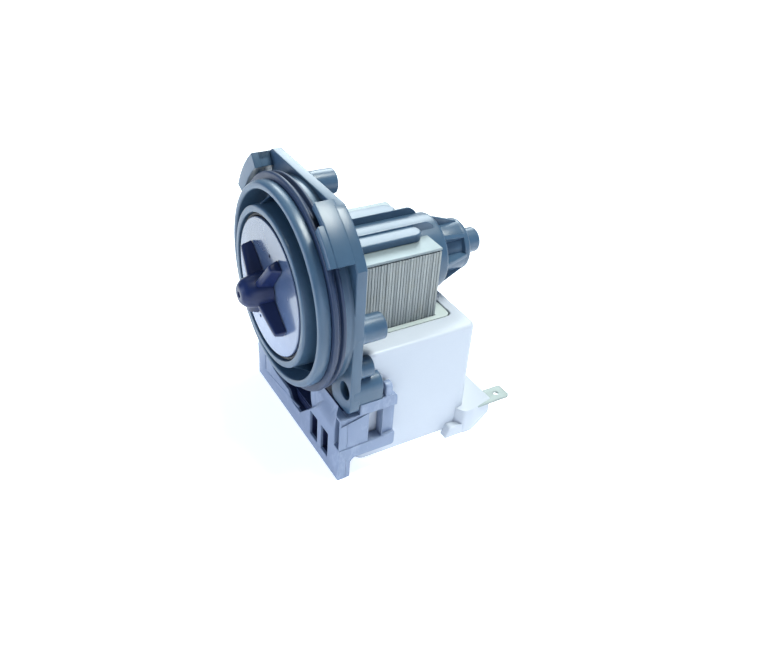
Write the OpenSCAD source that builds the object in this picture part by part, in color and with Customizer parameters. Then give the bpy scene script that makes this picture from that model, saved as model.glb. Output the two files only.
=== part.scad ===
// Drain pump of a washing machine: a synchronous motor on a moulded mounting flange.
// The rotor axis is the Y axis. Y = 0 is the flat front face of the mounting plate, +Z is up.

/* [Mounting plate] */
// thickness of the mounting plate
plate_t = 3.3; // [2.5:0.1:5]
// half of the width across the straight side edges
plate_half_w = 31.1; // [28:0.1:36]
// height of the straight top edge above the rotor axis
plate_top = 32.2; // [30:0.1:38]
// radius of the large upper corners
plate_corner_r = 36.5; // [34:0.5:40]
// how far the plate reaches below the rotor axis
plate_low = 30.5; // [28:0.5:34]
// sideways distance of each screw hole from the axis
screw_x = 27.2; // [24:0.1:30]
// depth of the screw holes below the axis
screw_z = 22.9; // [20:0.1:28]
// radius of the screw holes
screw_r = 2.9; // [2:0.1:3.4]
// how far the bosses reach behind the plate front
boss_end = 11.2; // [8:0.1:14]

/* [Spigot] */
// outer radius of the sealing spigot
spigot_r = 31; // [29:0.1:33]
// length of the spigot in front of the plate
spigot_len = 10.3; // [8:0.1:14]
// wall thickness of the spigot ring
spigot_wall = 2.4; // [1.8:0.1:3.5]
// outer radius of the inner collar
collar_r = 24.35; // [23:0.05:26]
// bore radius of the inner collar
collar_bore_r = 22.3; // [20:0.05:23]
// length of the inner collar in front of the plate
collar_len = 12; // [10:0.1:14]
// depth of the floor between collar and ring
groove_floor = 2; // [1:0.1:4]
// how far the rubber ring stands out of the spigot
seal_lip = 2.2; // [1.4:0.1:3]

/* [Bayonet lugs] */
// how far the right lug's outer face lies outside the rubber ring
right_lug_out = 2.8; // [2.6:0.1:3.4]
// how far the right lug stands forward
right_lug_len = 6.9; // [4:0.1:9]
// how far the left lug's outer face lies outside the rubber ring
left_lug_out = 6.5; // [6:0.1:7.5]
// how far the left lug stands forward
left_lug_len = 6.0; // [4:0.1:9]

/* [Impeller] */
// radius at the vane tips
vane_tip_r = 15.1; // [12:0.1:18]
// thickness of a vane
vane_t = 1.9; // [1.2:0.1:3]
// number of vanes
vane_count = 4; // [3:1:6]
// turn of the vane cross about the axis
vane_turn = 36; // [0:1:90]
// radius of the hub
hub_r = 4.9; // [4.6:0.1:6]
// how far the nose stands in front of the plate
nose_y = 20.9; // [19:0.1:24]
// front face of the bearing disc, in front of the plate
disc_y = 11.8; // [10:0.1:12]
// visible radius of the bearing disc
disc_r = 21; // [19:0.1:22]
// radius of the shaft
shaft_r = 2; // [1.5:0.1:3]

/* [Motor] */
// outer radius of the rotor can
can_r = 12.4; // [11:0.1:14]
// rear edge of the can
can_end = 44; // [42:0.1:48]
// front end of the laminated core
core_y0 = 11.3; // [9:0.1:13]
// rear end of the laminated core
core_y1 = 37.3; // [34:0.1:40]
// half of the width of the laminated core
core_half_w = 16.7; // [15:0.1:18]
// top of the laminated core above the axis
core_top = 10.8; // [9:0.1:12]
// number of laminations that show
lamination_count = 26; // [10:1:40]
// half of the width of the two ribs' outer sides
rib_out = 10.8; // [9:0.1:12]
// half of the width between the two ribs
rib_in = 4.9; // [4:0.1:6]
// start of the ribs' round ends
rib_end = 31.5; // [28:0.1:34]
// height of the rib tops above the axis
rib_top = 13.4; // [12:0.1:15]
// radius of the rear bearing housing
housing_r = 8.5; // [7:0.1:10]
// rear end of the bearing housing
housing_end = 55; // [52:0.1:58]
// radius of the end nub
nub_r = 4.15; // [3:0.05:5]
// rear end of the end nub
nub_end = 62; // [58:0.1:66]

/* [Coil cover] */
// half of the width of the cover
cover_half_w = 27; // [25:0.1:28]
// front face of the cover
cover_y0 = 5.6; // [5:0.1:8]
// rear face of the cover
cover_y1 = 46.4; // [44:0.1:50]
// top of the cover, below the axis
cover_top = 13; // [12.6:0.1:15]
// lowest level of the pump, below the axis
base_z = 55.4; // [52:0.1:60]
// wall thickness of the cover
cover_wall = 1.8; // [1.2:0.1:3]
// how far the middle of each spade terminal lies inside the side of the cover
tab_inset = 0.7; // [0.5:0.1:4]
// width of a spade terminal
tab_w = 6.3; // [4.8:0.1:6.3]

/* [Hidden] */
$fn = 96;
fit = 0.05;
gap = 0.2;
plate_back = plate_t;
ring_in_r = spigot_r - spigot_wall;
seal_seat_r = spigot_r - 0.8;
seal_r = spigot_r + seal_lip;
right_lug_r = seal_r + right_lug_out;
left_lug_r = seal_r + left_lug_out;
seal_y0 = 6.8;
seal_y1 = 2.8;
shelf_y = 9;
chamber_r = 20;
can_in_r = can_r - 1.2;
can_bore = can_r + fit;
can_collar_r = 15.5;
core_bore_r = can_r + 0.35;
leg_in = 8.2;
yoke_top = 45.6;
base_t = 1.8;
yoke_low = base_z - base_t;
lam_pitch = (core_y1 - core_y0) / lamination_count;
lam_gap = 0.14;
lam_step = 0.18;
strip_t = 0.7;
notch_t = 0.5;
notch_x = 22.85;
notch_wall = 1;
small_boss_end = 8;
tab_t = 0.8;
tab_top = 45.8;
tab_end = cover_y1 + 17;
tab_x = cover_half_w - tab_inset;
socket_top = tab_top - 0.2;
socket_half_w = cover_half_w + 3;
socket_end = cover_y1 + 9.9;
tab_front = cover_y1 - 3.4;
lead_y = cover_y1 - 3.8;
lead_r = 0.45;
tab_in = tab_x - tab_w / 2;
bobbin_wall = 0.9;
coil_t = 2.7;
cheek_in = cover_half_w + 0.4;
cheek_y1 = 16.4;
cheek_top = 26.9;
cheek_low = 47.2;
front_y = 3;
foot_y = 1.4;
wall_y0 = 3.6;
dog_half = 18;
magnet_r = can_in_r - 0.7;

// A flat outline drawn in X and Z, made solid from y0 to y1.
module along_y(y0, y1) {
  translate([0, y1, 0]) rotate([90, 0, 0]) linear_extrude(height = y1 - y0) children();
}

// A profile drawn as radius and Y, turned about the rotor axis.
module turned() {
  rotate([-90, 0, 0]) rotate_extrude() children();
}

// A box from its low corner to its high corner.
module span(lo, hi) {
  translate(lo) cube([hi[0] - lo[0], hi[1] - lo[1], hi[2] - lo[2]]);
}

// A rectangle from its low corner to its high corner.
module rect(lo, hi) {
  translate(lo) square([hi[0] - lo[0], hi[1] - lo[1]]);
}

// A rectangle with four round corners.
module round_rect(lo, hi, r) {
  rect([lo[0] + r, lo[1]], [hi[0] - r, hi[1]]);
  rect([lo[0], lo[1] + r], [hi[0], hi[1] - r]);
  for (x = [lo[0] + r, hi[0] - r]) for (y = [lo[1] + r, hi[1] - r]) translate([x, y]) circle(r = r);
}

// A wedge about the axis between two angles, measured from +Z towards +X.
module wedge(a0, a1, r) {
  am = (a0 + a1) / 2;
  rm = r / cos((a1 - a0) / 2);
  polygon([[0, 0], [r * sin(a0), r * cos(a0)], [rm * sin(am), rm * cos(am)], [r * sin(a1), r * cos(a1)]]);
}

// Part of a ring between two radii and two angles.
module arc_ring(r0, r1, a0, a1) {
  intersection() {
    difference() {
      circle(r = r1);
      circle(r = r0);
    }
    wedge(a0, a1, r1 + 2);
  }
}

// Outline of the mounting plate.
module plate_outline() {
  intersection() {
    circle(r = plate_corner_r);
    union() {
      rect([-plate_half_w, -18], [plate_half_w, plate_top]);
      rect([-plate_half_w + 4, -plate_low], [plate_half_w - 4, -17]);
    }
  }
  circle(r = spigot_r);
  // upper left corner, carried out to the left lug
  intersection() {
    arc_ring(30, left_lug_r, -66, -20);
    rect([-left_lug_r, 0], [0, plate_top]);
  }
  for (s = [-1, 1]) {
    intersection() {
      round_rect([s * 25 - 6.1, -plate_low], [s * 25 + 6.1, -10], 3.4);
      rect([-plate_half_w, -40], [plate_half_w, 0]);
    }
  }
}

module mounting_flange() {
  color([0.36, 0.5, 0.56]) difference() {
    union() {
      along_y(0, plate_back) plate_outline();
      // spigot ring, groove floor, inner collar and shelf in one turned profile
      turned() polygon([[chamber_r, 0.5], [chamber_r, -shelf_y], [collar_bore_r, -shelf_y],
        [collar_bore_r, -collar_len + 0.3], [collar_bore_r + 0.3, -collar_len],
        [collar_r - 0.5, -collar_len], [collar_r, -collar_len + 0.5],
        [collar_r, -groove_floor], [ring_in_r, -groove_floor], [ring_in_r, -spigot_len + 0.7],
        [ring_in_r + 0.7, -spigot_len], [spigot_r - 0.9, -spigot_len],
        [spigot_r, -spigot_len + 0.9], [spigot_r, -seal_y0], [seal_seat_r, -seal_y0],
        [seal_seat_r, -seal_y1], [spigot_r, -seal_y1], [spigot_r, 0.5]]);
      // three thin webs across the groove
      for (a = [-20, 147, 255]) rotate([0, a, 0])
        span([-0.6, -7.8, collar_r - 0.4], [0.6, -1.5, ring_in_r + 0.4]);
      // right lug: a wall with an inward lip at its lower half
      along_y(-5.1, 1) arc_ring(right_lug_r - 1.9, right_lug_r, 24.8, 54.5);
      along_y(-right_lug_len, -5) arc_ring(right_lug_r - 2.4, right_lug_r - 0.3, 36, 54.5);
      // left lug: a deeper hook
      along_y(-left_lug_len, 1) arc_ring(left_lug_r - 2.2, left_lug_r, -65.5, -38);
      along_y(-left_lug_len, -3.8) arc_ring(left_lug_r - 4.6, left_lug_r - 0.4, -65.5, -38);
      along_y(-left_lug_len, 1) arc_ring(left_lug_r - 4.6, left_lug_r, -40.8, -38);
      // two flat ribs that hold the core down
      for (s = [0, 1]) mirror([s, 0, 0])
        translate([0, 0, core_top]) linear_extrude(height = rib_top - core_top) rib_plan();
      // bosses behind the plate
      along_y(1, boss_end) {
        translate([-4.9, 27.9]) circle(r = 3.8);
        for (s = [-1, 1]) translate([s * 26.8, -3.05]) circle(r = 4.1);
      }
      for (s = [-1, 1]) {
        along_y(1, boss_end - 0.2) {
          translate([s * screw_x, -screw_z]) circle(r = screw_r + 1.15);
          rect([s * screw_x - screw_r - 1.15, -cheek_top], [s * screw_x + screw_r + 1.15, -screw_z]);
        }
        along_y(1, small_boss_end) translate([s * 27.4, -15.9]) circle(r = 3.3);
      }
    }
    // bore for the rotor can
    along_y(-2, core_y1) circle(r = can_bore);
    // screw holes
    for (s = [-1, 1]) along_y(-1, boss_end + 1) translate([s * screw_x, -screw_z]) circle(r = screw_r);
    // windows in the plate behind both hooks
    along_y(-1, plate_back + 1) arc_ring(34.6, 37.3, -63, -42);
    // blind core holes in the bosses
    along_y(plate_back + 2, boss_end + 1) {
      translate([-4.9, 27.9]) circle(r = 1.6);
      for (s = [-1, 1]) translate([s * 26.8, -3.05]) circle(r = 1.6);
    }
    // shallow round mark left by a moulding pin
    along_y(-1, 0.15) translate([-19.6, 29.3]) circle(r = 1.3);
  }
}

module spigot_seal() {
  color([0.25, 0.3, 0.38]) turned() polygon([[seal_seat_r + fit, -seal_y0 + fit],
    [seal_r - 0.5, -seal_y0 + fit], [seal_r, -seal_y0 + 0.45], [seal_r, -seal_y0 + 1.3],
    [seal_r - 1.5, -seal_y0 + 1.8], [seal_r - 1.5, -seal_y1 - 1.6], [seal_r - 0.2, -seal_y1 - 1.2],
    [seal_r - 0.2, -seal_y1 - 0.5], [seal_r - 0.7, -seal_y1 - fit],
    [seal_seat_r + fit, -seal_y1 - fit]]);
}

// Disc that closes the spigot and carries the front bearing.
module bearing_disc() {
  color([0.66, 0.72, 0.82]) difference() {
    turned() polygon([[shaft_r + 0.3, -disc_y], [disc_r - 0.2, -disc_y], [disc_r, -disc_y + 0.2],
      [disc_r, -shelf_y - 0.8], [collar_bore_r - 0.1, -shelf_y - 0.8],
      [collar_bore_r - 0.1, -shelf_y], [7.4, -shelf_y], [7.4, -3], [5.4, -3], [5.4, -8.6],
      [shaft_r + 0.3, -8.6]]);
    for (p = [[1.7, 11.5], [-6.2, -13.7]])
      along_y(-disc_y - 1, -disc_y + 1.2) translate(p) circle(r = 0.6);
  }
}

module disc_seal() {
  seal_mid = (disc_r + collar_bore_r) / 2;
  seal_half = (collar_bore_r - disc_r) / 2 - 0.03;
  color([0.06, 0.06, 0.08]) turned() translate([seal_mid, -shelf_y - 0.8 - seal_half - 0.02])
    circle(r = seal_half);
}

module bush(y0, y1, r_out) {
  turned() polygon([[shaft_r + fit, y0], [r_out, y0], [r_out, y1], [shaft_r + fit, y1]]);
}

module ring(y0, y1, r_in, r_out) {
  turned() polygon([[r_in, y0], [r_out, y0], [r_out, y1], [r_in, y1]]);
}

module front_bush() {
  color([0.3, 0.3, 0.32]) bush(-8.5, -3.1, 3.7);
}

module front_bush_ring() {
  color([0.1, 0.1, 0.1]) ring(-8.5, -3.3, 3.75, 5.35);
}

module rear_bush() {
  color([0.3, 0.3, 0.32]) bush(can_end, can_end + 6, 4);
}

module rear_bush_ring() {
  color([0.1, 0.1, 0.1]) ring(can_end, can_end + 5.8, 4.05, 5.95);
}

// Outline of one rib, lying on top of the core, seen from above.
module rib_plan() {
  rect([rib_in, 1], [rib_out, rib_end]);
  translate([(rib_in + rib_out) / 2, rib_end]) circle(r = (rib_out - rib_in) / 2);
}

module rotor_can() {
  color([0.36, 0.5, 0.56]) difference() {
    union() {
      turned() polygon([[can_in_r, -1.5], [can_collar_r, -1.5], [can_collar_r, -0.05], [can_r, -0.05],
        [can_r, can_end - 0.4], [can_r - 0.4, can_end], [housing_r - 1.5, can_end],
        [housing_r - 1.5, housing_end - 2.2], [housing_r, housing_end - 2],
        [housing_r, housing_end - 1], [housing_r - 1, housing_end], [nub_r, housing_end],
        [nub_r, nub_end - 0.8], [nub_r - 0.8, nub_end], [0, nub_end], [0, housing_end - 3],
        [6, housing_end - 3], [6, can_end - 1.4], [can_in_r, can_end - 1.4]]);
      // full-round sectors and eight tapered gussets of the rear housing
      along_y(can_end - 0.5, housing_end - 1.5) for (k = [0, 2, 4, 6])
        arc_ring(housing_r - 2, housing_r, 45 * k - 1, 45 * k + 44);
      for (k = [0 : 7]) rotate([0, 45 * k - 1, 0]) translate([-0.7, 0, 0]) rotate([90, 0, 90])
        linear_extrude(height = 1.4) polygon([[can_end - 0.5, housing_r - 2],
          [can_end - 0.5, can_r - 0.2], [housing_end - 1.6, housing_r + 0.1],
          [housing_end - 1.6, housing_r - 2]]);
    }
    // shallow pockets in the can behind the ribs
    for (s = [0, 1]) mirror([s, 0, 0])
      along_y(can_end - 6.2, can_end - 1.9) arc_ring(can_r - 0.7, can_r + 2, 12, 30);
  }
}

// Outline of the U-shaped core, drawn smaller by the given step.
module core_outline(step) {
  difference() {
    rect([-core_half_w + step, -yoke_low + step], [core_half_w - step, core_top - step]);
    circle(r = core_bore_r + step);
    rect([-leg_in - step, -yoke_top - step], [leg_in + step, core_top + 1]);
    // dark groove under the smooth top strips
    for (s = [0, 1]) mirror([s, 0]) rect([core_half_w - notch_t - step, core_top - strip_t - notch_t],
      [core_half_w + 1, core_top - strip_t]);
  }
}

module stator_core() {
  color([0.62, 0.63, 0.62]) {
    along_y(core_y0, core_y1) core_outline(lam_step);
    for (i = [0 : lamination_count - 1])
      along_y(core_y0 + i * lam_pitch, core_y0 + (i + 1) * lam_pitch - lam_gap) core_outline(0);
    // smooth strip along the top of each side
    for (s = [0, 1]) mirror([s, 0, 0])
      along_y(core_y0, core_y1) rect([leg_in, core_top - strip_t], [core_half_w, core_top]);
  }
}

// Outline of the bracket's front wall, with the open bay below the spigot.
module front_wall_outline() {
  difference() {
    polygon([[-plate_half_w, -base_z], [plate_half_w, -base_z], [plate_half_w, -28.5],
      [24.2, -28.5], [20.8, -32.4], [14.3, -37.4], [3.3, -48.8], [-3, -48.7], [-5.3, -45.6],
      [-18, -45.3], [-23.5, -41], [-23.5, -28.5], [-plate_half_w, -28.5]]);
    // clip slots, from the right edge and the foot
    translate([plate_half_w, -base_z]) {
      rect([-20, 4], [-15, 13.5]);
      rect([-12.4, 4], [-7.8, 13.5]);
      rect([-3.5, 12.6], [-0.9, 24.6]);
    }
    translate([-plate_half_w, -base_z]) rect([6.7, 5.4], [7.1, 11.4]);
  }
}

module lower_bracket() {
  color([0.55, 0.6, 0.76]) difference() {
    union() {
      along_y(-front_y, 0) front_wall_outline();
      // panel level with the plate front, beside the bay
      along_y(-1.2, 2.2) polygon([[7.5, -plate_low - 0.1], [7.5, -40], [9, -43.2], [14, -43.2],
        [26, -36], [26, -plate_low - 0.1]]);
      // foot along the whole front, with a hollow round at its back
      difference() {
        span([-plate_half_w, -0.1, -base_z], [plate_half_w, foot_y + 1.4, -cheek_low + 1]);
        translate([-40, foot_y + 2.4, -base_z + 5.2]) rotate([0, 90, 0]) cylinder(r = 2.4, h = 80);
        span([-40, foot_y, -base_z - 1], [40, foot_y + 3, -base_z + 5.2]);
      }
      // back wall against the coil cover and the floor between the walls
      span([-cheek_in - 0.5, wall_y0, -cheek_low], [cheek_in + 0.5, cover_y0, -30.6]);
      span([-cheek_in - 0.5, -0.1, -cheek_low], [cheek_in + 0.5, cover_y0, -cheek_low + 1.8]);
      // side cheeks with raised rails
      for (s = [0, 1]) mirror([s, 0, 0]) {
        span([cheek_in, -0.1, -cheek_low], [plate_half_w - 0.5, cheek_y1, -cheek_top - 0.2]);
        span([cheek_in, 3.5, -31], [plate_half_w, cheek_y1, -cheek_top]);
        span([cheek_in, -0.1, -cheek_low], [plate_half_w, cheek_y1, -42.2]);
        span([cheek_in, -0.1, -33.6], [plate_half_w, 3.5, -30.5]);
        span([cheek_in, -0.1, -cheek_low], [plate_half_w, 1.2, -30.5]);
        // round-topped tongue behind the screw boss
        translate([cheek_in + 1.8, 12.2, -24.3]) rotate([-90, 0, 0]) cylinder(r = 1.7, h = 2.4);
        span([cheek_in + 0.1, 12.2, -27.5], [cheek_in + 3.5, 14.6, -24.3]);
      }
    }
    // room for the plate's lobes
    span([-40, -0.01, -plate_low], [40, plate_back + 0.2, 0]);
    for (s = [0, 1]) mirror([s, 0, 0]) {
      // latch window
      span([cheek_in - 1, 7, -39.6], [plate_half_w + 1, 11.7, -31.2]);
      // ledge under the window
      span([plate_half_w - 2.4, 7, -42.2], [plate_half_w + 1, cheek_y1 + 1, -39.5]);
    }
  }
}

// Outline of the coil cover from above.
module cover_plan(inset) {
  round_rect([-cover_half_w + inset, cover_y0 + inset], [cover_half_w - inset, cover_y1 - inset],
    max(3.2 - inset, 1));
}

// Room in the cover's front corners for the bosses of the plate, grown by the given amount.
module boss_room(grow) {
  for (s = [0, 1]) mirror([s, 0, 0]) {
    span([notch_x - grow, 0, -base_z - 1], [cover_half_w + 5, small_boss_end + 0.4 + grow, -cover_top + 1]);
    span([notch_x - grow, 0, -base_z - 1],
      [cover_half_w + 5, boss_end + 1.3 + grow, -screw_z + screw_r + 1.5 + grow]);
  }
}

// Outline of the terminal housing from above.
module socket_plan() {
  w = socket_half_w;
  polygon([[-w, cover_y1 - 1.9], [-w + 3, cover_y1 - 4.1], [w - 3, cover_y1 - 4.1], [w, cover_y1 - 1.9],
    [w, cover_y1 + 1.4], [w - 2, socket_end], [-w + 2, socket_end], [-w, cover_y1 + 1.4]]);
}

module coil_cover() {
  color([0.88, 0.93, 0.96]) difference() {
    union() {
      difference() {
        translate([0, 0, -yoke_low]) linear_extrude(height = yoke_low - cover_top) cover_plan(0);
        boss_room(0);
      }
      // terminal housing with a slanted back edge
      difference() {
        translate([0, 0, -base_z]) linear_extrude(height = base_z - socket_top) socket_plan();
        translate([0, socket_end - 4.1, -base_z]) rotate([45, 0, 0]) translate([-40, 0, -10])
          cube([80, 10, 10]);
      }
      // low skirt beside the housing
      for (s = [-1, 1]) translate([s * (cover_half_w + 1), 0, -base_z])
        span([-1.6, cover_y1 - 8.6, 0], [1.6, cover_y1 - 0.4, 4.2]);
    }
    // room for the coils
    difference() {
      translate([0, 0, -yoke_low - 1]) linear_extrude(height = yoke_low + 1 - cover_top - cover_wall)
        cover_plan(cover_wall);
      boss_room(notch_wall);
    }
    // room for the base
    difference() {
      translate([0, 0, -base_z - 1]) linear_extrude(height = base_t + 1) cover_plan(cover_wall - 0.1);
      boss_room(notch_wall - 0.1);
    }
    // opening for the core and the coil formers
    translate([0, 0, -cover_top - 5]) linear_extrude(height = 6)
      round_rect([-19.1, 9.2], [19.1, 42.4], 2.5);
    // slots for the spade terminals
    for (s = [0, 1]) mirror([s, 0, 0]) translate([0, 0, -tab_top - tab_t - fit])
      linear_extrude(height = tab_t + 2 * fit) tab_plan(fit);
  }
}

module cover_base() {
  color([0.85, 0.9, 0.93]) difference() {
    translate([0, 0, -base_z]) linear_extrude(height = base_t) cover_plan(cover_wall);
    boss_room(notch_wall);
  }
}

// Coil former of one leg: a tube with a flange at each end and a raised plate on top.
module bobbin() {
  lo = [leg_in - gap - bobbin_wall, core_y0 - gap - bobbin_wall];
  hi = [core_half_w + gap + bobbin_wall, core_y1 + gap + bobbin_wall];
  brim_lo = [leg_in - 4.6, core_y0 - 3.7];
  brim_hi = [core_half_w + 4.9, core_y1 + 4.3];
  color([0.9, 0.94, 0.92]) difference() {
    union() {
      translate([0, 0, -yoke_top]) linear_extrude(height = yoke_top - cover_top - 0.3) rect(lo, hi);
      translate([0, 0, -yoke_top]) linear_extrude(height = 1.2) rect(brim_lo, brim_hi);
      translate([0, 0, -cover_top - 3.4]) linear_extrude(height = 1.4) rect(brim_lo, brim_hi);
      translate([0, 0, -cover_top - 2.2]) linear_extrude(height = 1.9)
        round_rect([0.2, core_y0 - 1.7], [core_half_w + 2, core_y1 + 4.7], 2.1);
    }
    translate([0, 0, -yoke_top - 1]) linear_extrude(height = yoke_top)
      rect([leg_in - gap, core_y0 - gap], [core_half_w + gap, core_y1 + gap]);
  }
}

module bobbin_left() {
  mirror([1, 0, 0]) bobbin();
}

module bobbin_right() {
  bobbin();
}

module winding() {
  lo = [leg_in - gap - bobbin_wall - fit, core_y0 - gap - bobbin_wall - fit];
  hi = [core_half_w + gap + bobbin_wall + fit, core_y1 + gap + bobbin_wall + fit];
  color([0.72, 0.4, 0.22]) translate([0, 0, -yoke_top + 1.25]) linear_extrude(height = 27.9)
    difference() {
      round_rect([lo[0] - coil_t, lo[1] - coil_t], [hi[0] + coil_t, hi[1] + coil_t], 2.4);
      rect(lo, hi);
    }
}

module winding_left() {
  mirror([1, 0, 0]) winding();
}

module winding_right() {
  winding();
}

// Wire that joins the two coils in series.
module coil_link() {
  color([0.7, 0.38, 0.2]) translate([-9, core_y1 + 4.35, -20]) rotate([0, 90, 0]) cylinder(r = lead_r, h = 18);
}

// Lead from the back of a coil down to its spade terminal.
module lead() {
  lead_x = core_half_w + 2.3;
  lead_top = -yoke_top + 7.6;
  lead_low = -tab_top + lead_r + 0.02;
  color([0.75, 0.75, 0.78]) {
    translate([lead_x, core_y1 + 3.9, lead_top]) rotate([-90, 0, 0])
      cylinder(r = lead_r, h = lead_y - core_y1 - 3.9);
    translate([lead_x, lead_y, lead_low]) cylinder(r = lead_r, h = lead_top - lead_low);
    translate([lead_x, lead_y, lead_low]) rotate([0, 90, 0]) cylinder(r = lead_r, h = tab_in - lead_x + 0.9);
    translate([tab_in + 0.9, lead_y, lead_low]) rotate([-90, 0, 0]) cylinder(r = lead_r, h = 1.7);
    for (p = [[lead_x, lead_y, lead_top], [lead_x, lead_y, lead_low], [tab_in + 0.9, lead_y, lead_low]])
      translate(p) sphere(r = lead_r);
  }
}

module lead_left() {
  mirror([1, 0, 0]) lead();
}

module lead_right() {
  lead();
}

// Outline of a spade terminal from above, grown by the given amount.
module tab_plan(grow) {
  tab_out = tab_x + tab_w / 2;
  polygon([[tab_in - grow, tab_front - grow], [tab_in + 1.8 + grow, tab_front - grow],
    [tab_in + 1.8 + grow, cover_y1 + 0.2 - grow], [tab_out + grow, cover_y1 + 0.2 - grow],
    [tab_out + grow, tab_end - 0.9], [tab_out - 0.9, tab_end + grow],
    [tab_in + 0.9, tab_end + grow], [tab_in - grow, tab_end - 0.9]]);
}

// Spade terminal with a small hole and a tapered tip.
module terminal() {
  color([0.8, 0.81, 0.8]) translate([0, 0, -tab_top - tab_t]) linear_extrude(height = tab_t)
    difference() {
      tab_plan(0);
      translate([tab_x, tab_end - 3.8]) circle(r = 0.85);
    }
}

module terminal_left() {
  mirror([1, 0, 0]) terminal();
}

module terminal_right() {
  terminal();
}

module shaft() {
  color([0.8, 0.82, 0.85]) turned() polygon([[0, -19.1], [shaft_r - 0.3, -19.1],
    [shaft_r, -18.8], [shaft_r, can_end + 6.7], [shaft_r - 0.3, can_end + 7], [0, can_end + 7]]);
}

module rotor_magnet() {
  color([0.2, 0.2, 0.22]) ring(core_y0, core_y1, 3.25, magnet_r);
}

module magnet_carrier() {
  color([0.15, 0.15, 0.16]) turned() polygon([[shaft_r + 0.02, -2.1], [3.2, -2.1],
    [3.2, core_y0 - 1], [8, core_y0 - 1], [8, core_y0], [3.2, core_y0], [3.2, core_y1],
    [8, core_y1], [8, core_y1 + 1], [3.2, core_y1 + 1], [3.2, can_end - 1], [shaft_r + 0.02, can_end - 1]]);
}

module thrust_washer_front() {
  color([0.75, 0.7, 0.55]) ring(-2.9, -2.15, shaft_r + 0.03, 4.4);
}

module thrust_washer_rear() {
  color([0.75, 0.7, 0.55]) ring(can_end - 0.95, can_end - 0.2, shaft_r + 0.03, 4.4);
}

// Dog on the shaft: it turns freely inside the hub until its wing meets the stop.
module drive_dog() {
  color([0.85, 0.85, 0.82]) along_y(-17, -13.2) difference() {
    union() {
      circle(r = 2.75);
      arc_ring(1, 4, -dog_half, dog_half);
    }
    circle(r = shaft_r + 0.02);
  }
}

module impeller() {
  color([0.07, 0.08, 0.13]) {
    difference() {
      union() {
        turned() polygon([[0, -nose_y], [hub_r - 1.9, -nose_y], [hub_r - 0.9, -nose_y + 0.35],
          [hub_r - 0.25, -nose_y + 1.1], [hub_r, -nose_y + 2], [hub_r, -disc_y - 0.3],
          [0, -disc_y - 0.3]]);
        for (i = [0 : vane_count - 1]) rotate([0, vane_turn + i * 360 / vane_count, 0])
          translate([-vane_t / 2, 0, 0]) rotate([90, 0, 90]) linear_extrude(height = vane_t)
          polygon([[-disc_y - 0.3, hub_r - 0.3], [-disc_y - 0.3, vane_tip_r], [-15, vane_tip_r],
            [-16.4, hub_r - 0.3]]);
      }
      // blind bore for the shaft, chamber for the dog, small dimple in the nose
      along_y(-19.4, -17) circle(r = shaft_r + fit);
      along_y(-17.2, -disc_y) circle(r = 4.1);
      along_y(-nose_y - 1, -nose_y + 0.5) circle(r = 0.8);
    }
    // stop inside the hub
    along_y(-17.3, -13.2) arc_ring(2.9, 4.3, 180 - dog_half, 180 + dog_half);
  }
}

// Rubber pads on both sides of the stop.
module stop_buffer() {
  color([0.12, 0.12, 0.12]) along_y(-17.1, -13.2) for (s = [-1, 1])
    arc_ring(2.95, 4.05, 180 + s * (dog_half + 3) - 2.6, 180 + s * (dog_half + 3) + 2.6);
}

module dog_retainer() {
  color([0.1, 0.1, 0.12]) ring(-13, -12.3, shaft_r + 0.25, 4.05);
}

mounting_flange();
spigot_seal();
bearing_disc();
disc_seal();
front_bush();
front_bush_ring();
rotor_can();
rear_bush();
rear_bush_ring();
stator_core();
lower_bracket();
coil_cover();
cover_base();
bobbin_left();
bobbin_right();
winding_left();
winding_right();
coil_link();
lead_left();
lead_right();
terminal_left();
terminal_right();
shaft();
rotor_magnet();
magnet_carrier();
drive_dog();
thrust_washer_front();
thrust_washer_rear();
impeller();
stop_buffer();
dog_retainer();
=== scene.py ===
"""Looks of a washer drain pump: moulded flange, laminated core, white coil cover and small impeller.

Sizes are in millimetres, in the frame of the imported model: the rotor axis is Y, Y = 0 is the front
face of the mounting plate and +Z is up. Meshes are written in metres when a shape is finished.
"""
import math
import bpy
import bmesh
from mathutils import Matrix, Vector
from mathutils.geometry import tessellate_polygon


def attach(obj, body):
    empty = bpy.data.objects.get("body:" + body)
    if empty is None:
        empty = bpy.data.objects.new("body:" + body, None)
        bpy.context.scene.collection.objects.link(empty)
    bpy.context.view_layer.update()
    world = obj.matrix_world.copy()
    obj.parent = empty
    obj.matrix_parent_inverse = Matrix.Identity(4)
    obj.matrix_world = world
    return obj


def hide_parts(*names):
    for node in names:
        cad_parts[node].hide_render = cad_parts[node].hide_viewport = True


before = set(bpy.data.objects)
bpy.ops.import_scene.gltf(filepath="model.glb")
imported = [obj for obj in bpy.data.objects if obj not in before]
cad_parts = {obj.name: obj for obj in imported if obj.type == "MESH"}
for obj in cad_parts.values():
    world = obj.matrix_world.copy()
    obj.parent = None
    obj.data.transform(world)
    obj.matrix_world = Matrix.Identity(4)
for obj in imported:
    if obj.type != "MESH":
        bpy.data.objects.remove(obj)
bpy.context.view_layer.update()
MM = 0.001

# ---------------------------------------------------------------- driving sizes, in millimetres
# mounting plate
PLATE_T = 3.3
PLATE_HALF_W = 31.1
PLATE_TOP = 32.2
PLATE_CORNER_R = 36.5
PLATE_LOW = 30.5
SCREW_X, SCREW_Z = 27.2, -22.9
SCREW_R = 2.9
BOSS_END = 11.2
# spigot and collar
SPIGOT_R = 31.0
SPIGOT_WALL = 2.4
SPIGOT_LEN = 10.3
SEAL_R = 33.2
SEAL_FRONT, SEAL_BACK = -6.8, -2.8
COLLAR_R = 24.35
COLLAR_BORE_R = 22.3
COLLAR_LEN = 12.0
GROOVE_FLOOR = 2.0
SHELF_Y = 9.0
CHAMBER_R = 20.0
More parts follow.
